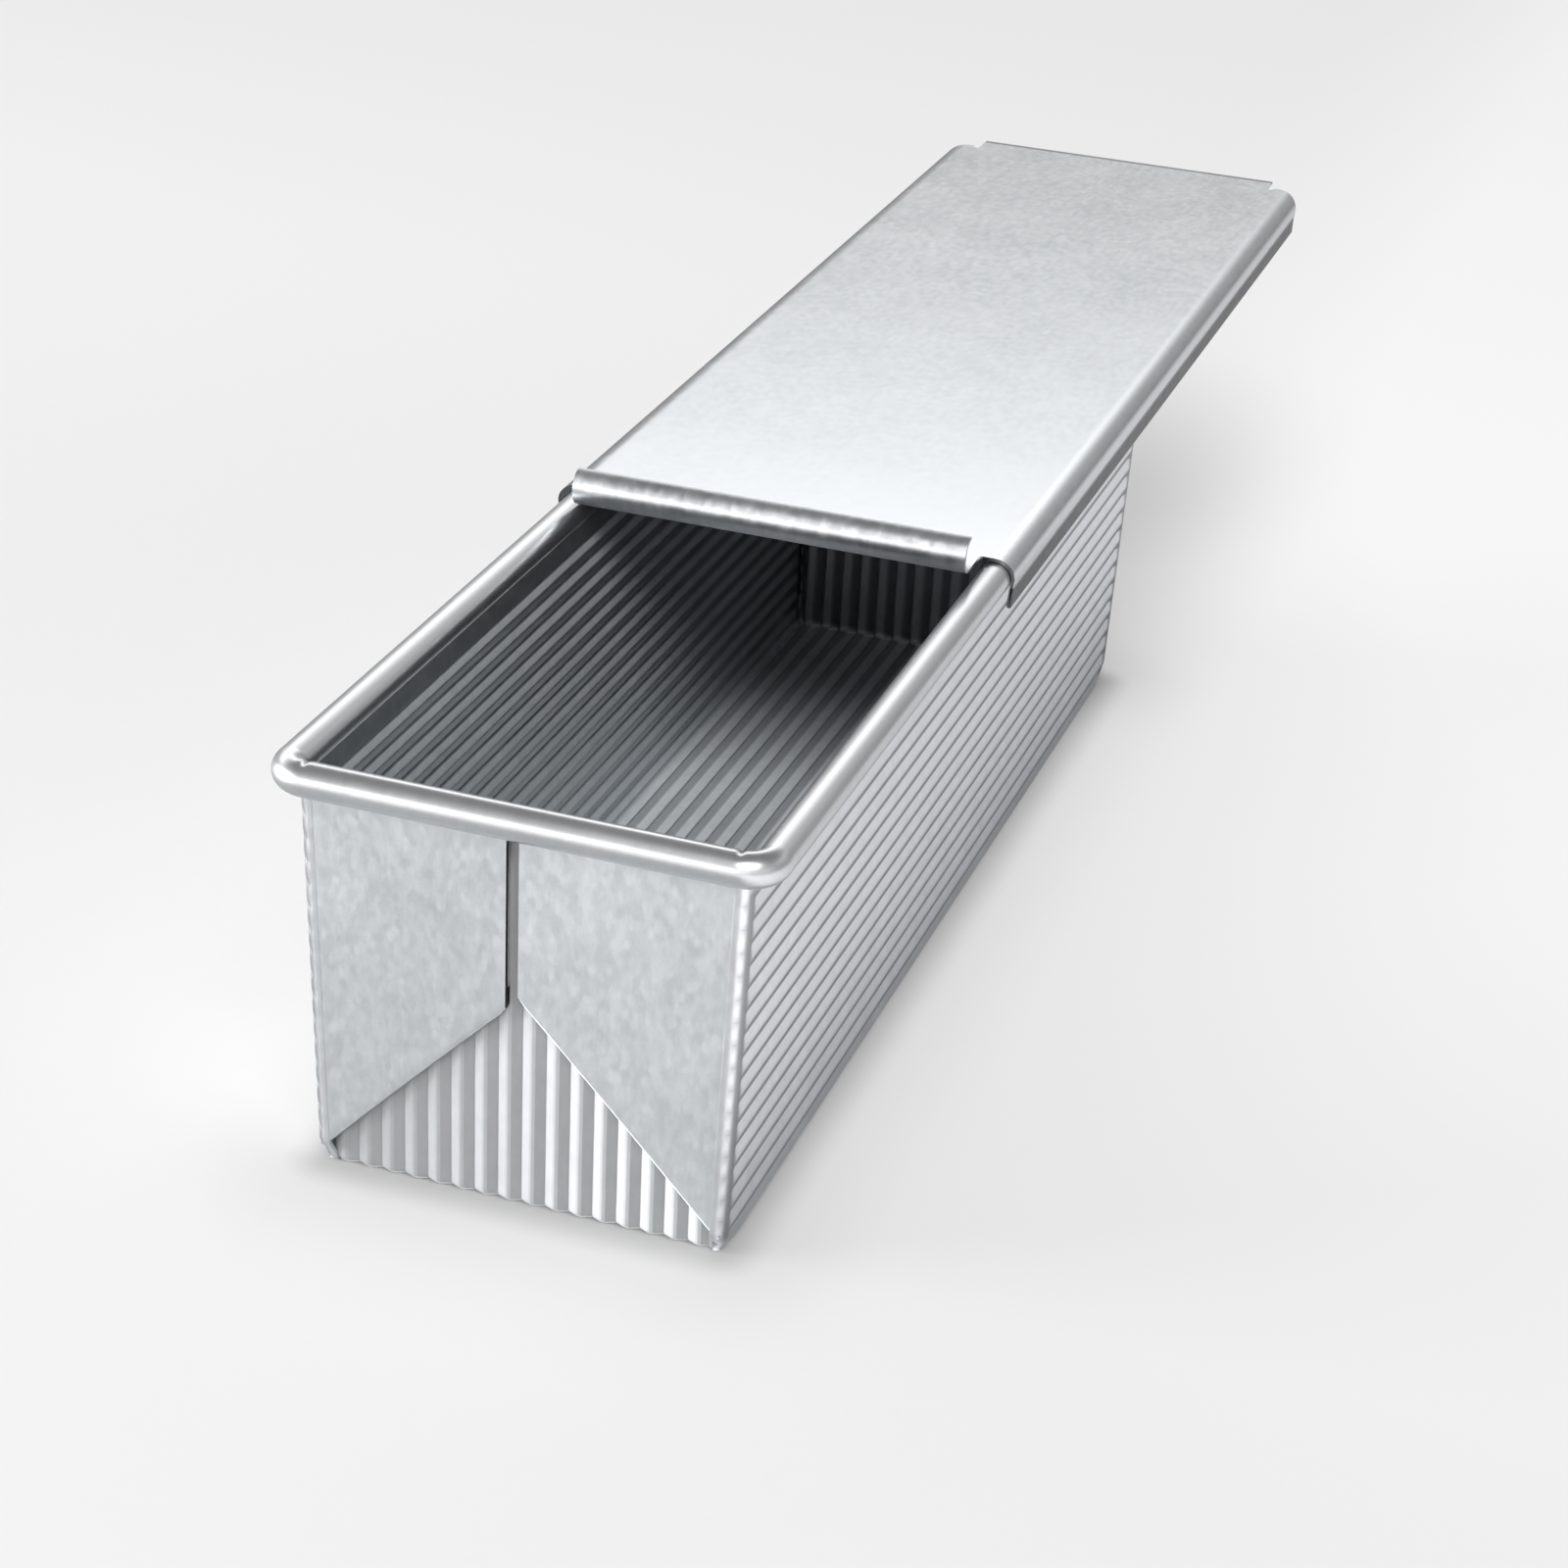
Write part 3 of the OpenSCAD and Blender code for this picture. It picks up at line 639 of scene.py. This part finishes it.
def pale_table():
    """Pale matt table. Its reflections in the metal are painted darker, and the camera sees part of it as a glow.

    The glow has painted shadows: it is weaker close round the pan's foot, in front of it and below the lid's
    overhang.
    """
    material, shader, where = new_tree("pale_table")
    across, along, _ = where.axes()
    shader.inputs["Roughness"].default_value = 0.9
    shader.inputs["Specular IOR Level"].default_value = 0.0
    tone = where.noise(0.5, 2).tinted((0.86, 0.86, 0.86), (0.88, 0.88, 0.88))
    # Painted reflection: the metal sees the table painted darker, and lighter only to the right and far in front
    brighter = (across.ramp(0.03, 0.14) + (-along).ramp(0.35, 0.9)).ramp(0.0, 1.0)
    mirrored = brighter.tinted((0.33, 0.333, 0.338), (0.88, 0.865, 0.88))
    in_metal = where.node("ShaderNodeLightPath", out="Is Glossy Ray")
    cover = where.node("ShaderNodeMix", {"Factor": in_metal, 6: tone, 7: mirrored}, out=2, data_type="RGBA")
    where.tree.links.new(cover.plug, shader.inputs["Base Color"])

    # Painted shadows on the glow: below the lid's overhang, in front of the pan, and a contact shadow round its
    # foot
    lid_shadow = across.band(*LID_SHADOW_X) * along.band(*LID_SHADOW_Y)
    front_shadow = across.band(*FRONT_SHADOW_X) * along.band(*FRONT_SHADOW_Y)
    beside, before = across.past(FOOT_X), along.past(FOOT_Y)
    from_foot = (beside * beside + before * before) ** 0.5
    foot_shadow = from_foot.ramp(0.0, 0.04, 0.14, 0.0) + from_foot.ramp(0.0, 0.013, 0.46, 0.0)
    open_glow = 0.76 + across.ramp(-0.05, 0.2) * along.ramp(-0.25, 0.1) * 0.22 + along.ramp(0.0, 0.5) * 0.13
    strength = open_glow * (1.0 - lid_shadow * 0.38 - front_shadow * 0.1 - foot_shadow)
    glow = where.node("ShaderNodeEmission", {"Color": strength.tinted((0, 0, 0), (1.0, 0.994, 0.997))})
    surface = Socket(where.tree, shader.outputs[0])
    seen = where.node("ShaderNodeMixShader", {0: 0.70, 1: surface, 2: glow})
    looked_at = where.node("ShaderNodeLightPath", out="Is Camera Ray")
    lit = where.node("ShaderNodeMixShader", {0: looked_at, 1: surface, 2: seen})
    where.tree.links.new(lit.plug, where.tree.nodes["Material Output"].inputs["Surface"])
    return material


table = round_table(TABLE_R, 12)
finish_with(table, pale_table())


# Light. The windows' bands are shares of the way up from the horizon

BACK_WINDOW, FRONT_WINDOW = (0.31, 0.46, 0.5, 0.66), (-0.02, 0.06, 0.24, 0.54)


def studio_world():
    """Dim walls, a window behind the pan that the lid mirrors, and a lower one in front of it."""
    world = bpy.data.worlds.new("studio")
    world.use_nodes = True
    tree = world.node_tree
    across, along, up = Socket(tree, tree.nodes.new("ShaderNodeTexCoord").outputs["Generated"]).axes()
    low_wall = up.ramp(0.0, 0.25, 0.3, 0.4) * up.ramp(0.55, 0.8, 1.0, 0.45)
    back_window = up.band(*BACK_WINDOW) * along.ramp(-0.1, 0.5) * across.ramp(-0.2, 0.25, 2.02, 0.3)
    front_window = (up.band(*FRONT_WINDOW) * along.ramp(-0.5, 0.1, 1.0, 0.0)
                    * across.ramp(-0.5, 0.7, 1.7, 0.4))
    light = tree.nodes["Background"]
    tree.links.new((low_wall + back_window + front_window).plug, light.inputs["Strength"])
    light.inputs["Color"].default_value = (1.0, 1.0, 1.0, 1.0)
    return world


def softbox(name, place, target, width, height, power):
    """Square studio lamp facing a point."""
    lamp = bpy.data.lights.new(name, "AREA")
    lamp.shape, lamp.size, lamp.size_y, lamp.energy = "RECTANGLE", width, height, power
    holder = bpy.data.objects.new(name, lamp)
    holder.location = place
    holder.rotation_euler = (Vector(target) - Vector(place)).to_track_quat("-Z", "Y").to_euler()
    bpy.context.scene.collection.objects.link(holder)


bpy.context.scene.world = studio_world()
softbox("left_softbox", (-1.35, -0.62, 0.24), (0, -0.1, 0.05), 0.8, 0.5, 42)
softbox("top_softbox", (0.44, -1.09, 1.3), (0, 0, 0.05), 0.8, 0.6, 20)


# Camera, from its place, its right and its upward direction

CAMERA_PLACE = Vector((0.2477, -0.7605, 0.4298))
CAMERA_RIGHT = Vector((0.9432, 0.3286, 0.0489))
CAMERA_UP = Vector((-0.1884, 0.4080, 0.8934))

camera_data = bpy.data.cameras.new("camera")
camera_data.lens, camera_data.sensor_width = 79.2, 36
camera_data.clip_start, camera_data.clip_end = 0.05, 20
camera = bpy.data.objects.new("camera", camera_data)
bpy.context.scene.collection.objects.link(camera)
bpy.context.scene.camera = camera
turn = Matrix((CAMERA_RIGHT, CAMERA_UP, CAMERA_RIGHT.cross(CAMERA_UP))).transposed()
camera.matrix_world = Matrix.Translation(CAMERA_PLACE) @ turn.to_4x4()

bpy.context.scene.view_settings.view_transform = "Standard"
